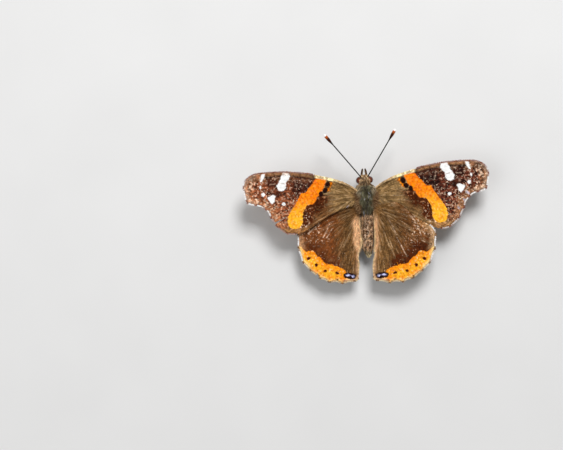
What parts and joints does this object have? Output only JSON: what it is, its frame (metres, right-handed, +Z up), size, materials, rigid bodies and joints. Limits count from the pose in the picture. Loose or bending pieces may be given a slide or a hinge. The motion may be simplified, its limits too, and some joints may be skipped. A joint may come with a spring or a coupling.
{
  "type": "red admiral butterfly",
  "caption": "Life-size red admiral butterfly at rest on its legs, wings spread flat, antennae forward, for insect displays and garden scenes.",
  "frame": {"origin": "on the floor, under the middle of the box round the butterfly with its wings and antennae", "axes": "+Z up, +Y the way the head points, +X to the butterfly's own right wings"},
  "size_m": [0.0614, 0.0383, 0.0099],
  "materials": {
    "forewing": "matt scales, brown-black with an orange band and white spots",
    "hindwing": "matt scales, olive brown with an orange border and dark dots",
    "fur": "fine grey-green and brown hair",
    "abdomen": "grey-brown scales in rings",
    "eye": "glossy dark red-brown facets under short hair",
    "antenna": "dark grey with pale rings",
    "antenna_club": "orange-brown club with a pale tip",
    "palp": "brown and cream scales",
    "proboscis": "horny brown, softly shining",
    "leg": "pale brown with fine scales and bristles"
  },
  "bodies": {
    "root": {"head": "fur", "thorax": "fur", "abdomen": "abdomen", "eye_left": "eye", "eye_right": "eye", "antenna_left": "antenna", "antenna_right": "antenna", "palp_left": "palp", "palp_right": "palp", "proboscis": "proboscis", "forewing_left": "forewing", "forewing_right": "forewing", "hindwing_left": "hindwing", "hindwing_right": "hindwing", "leg_fore_left": "leg", "leg_fore_right": "leg", "leg_mid_left": "leg", "leg_mid_right": "leg", "leg_hind_left": "leg", "leg_hind_right": "leg"}
  },
  "joints": []
}
